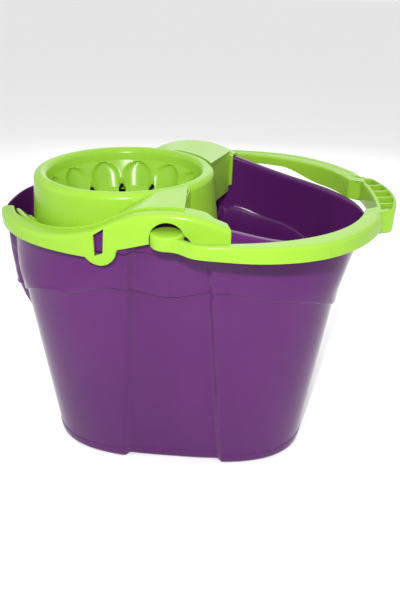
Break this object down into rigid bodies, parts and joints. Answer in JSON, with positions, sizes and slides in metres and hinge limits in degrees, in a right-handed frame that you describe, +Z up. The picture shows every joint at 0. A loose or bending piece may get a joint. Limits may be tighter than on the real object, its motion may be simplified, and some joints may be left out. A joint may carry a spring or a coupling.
{
  "type": "mop bucket with wringer",
  "caption": "Oval mop bucket with a pouring lip, a lift-out wringer cup clipped over its rim and a bail handle that swings from side to side.",
  "frame": {"origin": "on the floor under the middle of the handle's pivot line, which is the middle of the base", "axes": "+X along the bucket towards the pouring lip and the lowered handle's grip, +Y across the bucket, +Z up"},
  "size_m": [0.387, 0.317, 0.295],
  "materials": {
    "bucket_plastic": "glossy purple moulded plastic",
    "wringer_plastic": "glossy lime green moulded plastic",
    "handle_plastic": "glossy lime green moulded plastic"
  },
  "bodies": {
    "bucket": {"bucket": "bucket_plastic"},
    "wringer": {"wringer": "wringer_plastic"},
    "handle": {"handle": "handle_plastic"}
  },
  "joints": [
    {"name": "handle_swing", "type": "hinge", "parent": "bucket", "child": "handle", "pos_m": [0, 0, 0.2725], "axis": [0, -1, 0], "range_deg": [0, 180]},
    {"name": "wringer_lift", "type": "slide", "parent": "bucket", "child": "wringer", "axis": [0, 0, 1], "range_m": [0, 0.12]}
  ]
}
